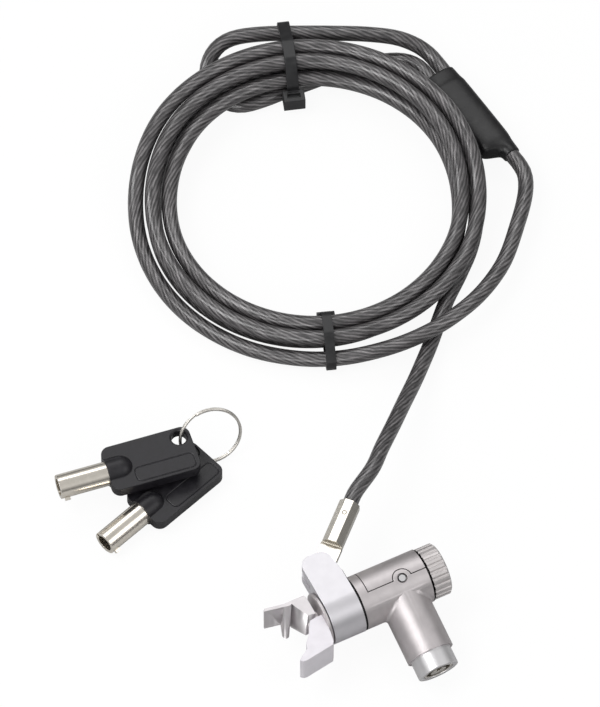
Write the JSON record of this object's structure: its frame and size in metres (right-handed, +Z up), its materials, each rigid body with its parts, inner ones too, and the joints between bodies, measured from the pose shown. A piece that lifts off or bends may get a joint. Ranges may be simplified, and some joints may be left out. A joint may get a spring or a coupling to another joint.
{
  "type": "laptop cable lock",
  "caption": "Cable lock for a laptop: a jaw clamp head with a knob and a push-in round-key lock, on a swivel collar, with a coiled looped steel cable and keys on a ring.",
  "frame": {"origin": "on the table, under the middle of the box round the lock head, its terminal, the keys and their ring; the cable is left out of that box", "axes": "+X to the right along the longest side of that box, +Y away from the viewer towards the coil, +Z up"},
  "size_m": [0.175, 0.2809, 0.0275],
  "materials": {
    "jacket": "steel strands under a thin clear jacket",
    "black_sleeve": "shrink tubing",
    "nylon_black": "moulded nylon",
    "soft_aluminium": "pressed",
    "nickel": "warm nickel plate",
    "satin_silver": "satin cast",
    "bright_silver": "bright satin cast",
    "pale_silver": "fine blasted",
    "knob_silver": "satin, fluted",
    "polished": "polished",
    "spring_steel": "dark spring steel",
    "yellow_brass": "plain",
    "black_nylon_washer": "plain",
    "key_black": "satin moulded"
  },
  "bodies": {
    "cable": {"cable_coil": "jacket", "cable_lead": "jacket", "cable_loop": "jacket", "ferrule": "soft_aluminium", "shrink_sleeve": "black_sleeve", "far_tie": "nylon_black", "near_tie": "nylon_black", "cable_terminal": "nickel"},
    "collar": {"swivel_collar": "bright_silver", "terminal_rivet": "nickel"},
    "lock_body": {"barrel_housing": "satin_silver", "barrel_shell": "satin_silver", "shell_dowels": "polished", "collar_washer": "black_nylon_washer", "front_ring": "satin_silver", "foot_jaw": "pale_silver"},
    "claw": {"claw_jaw": "pale_silver", "draw_screw": "spring_steel"},
    "knob_turner": {"knob": "knob_silver", "drive_nut": "yellow_brass", "nut_clip": "spring_steel"},
    "plunger": {"lock_plunger": "polished", "lock_bolt": "spring_steel", "plunger_spring": "spring_steel"},
    "core": {"lock_core": "nickel", "tumbler_pins": "yellow_brass"},
    "ring": {"key_ring": "nickel"},
    "upper_key": {"upper_key_tube": "nickel", "upper_key_head": "key_black"},
    "lower_key": {"lower_key_tube": "nickel", "lower_key_head": "key_black"}
  },
  "joints": [
    {"name": "terminal_pivot", "type": "hinge", "parent": "cable", "child": "collar", "pos_m": [0.02313, -0.01683, 0.0225], "axis": [0, 0, 1], "range_deg": [-45, 15]},
    {"name": "collar_swivel", "type": "hinge", "parent": "collar", "child": "lock_body", "pos_m": [0.02405, -0.0328, 0.0172], "axis": [0.8949, 0.4462, 0], "range_deg": [-90, 70]},
    {"name": "knob_turn", "type": "hinge", "parent": "lock_body", "child": "knob_turner", "pos_m": [0.02405, -0.0328, 0.0172], "axis": [0.8949, 0.4462, 0], "range_deg": [-720, 360]},
    {"name": "claw_slide", "type": "slide", "parent": "lock_body", "child": "claw", "axis": [0.8949, 0.4462, 0], "range_m": [-0.0026, 0.0013]},
    {"name": "plunger_press", "type": "slide", "parent": "lock_body", "child": "plunger", "axis": [-0.4289, 0.8603, 0.2756], "range_m": [0, 0.0035]},
    {"name": "core_turn", "type": "hinge", "parent": "plunger", "child": "core", "pos_m": [0.06368, -0.04527, 0.00893], "axis": [0.4289, -0.8603, -0.2756], "range_deg": [0, 50]},
    {"name": "ring_lift", "type": "slide", "parent": "cable", "child": "ring", "axis": [0, 0, 1], "range_m": [0, 0.1]},
    {"name": "upper_key_swing", "type": "hinge", "parent": "ring", "child": "upper_key", "pos_m": [-0.0282, 0.04498, 0.0129], "axis": [0, 0, 1], "range_deg": [-25, 6]},
    {"name": "lower_key_swing", "type": "hinge", "parent": "ring", "child": "lower_key", "pos_m": [-0.02446, 0.04285, 0.0054], "axis": [0, 0, 1], "range_deg": [-6, 25]}
  ],
  "couplings": [
    {"joint": "claw_slide", "follows": "knob_turn", "m_per_rad": 0.00019894}
  ]
}
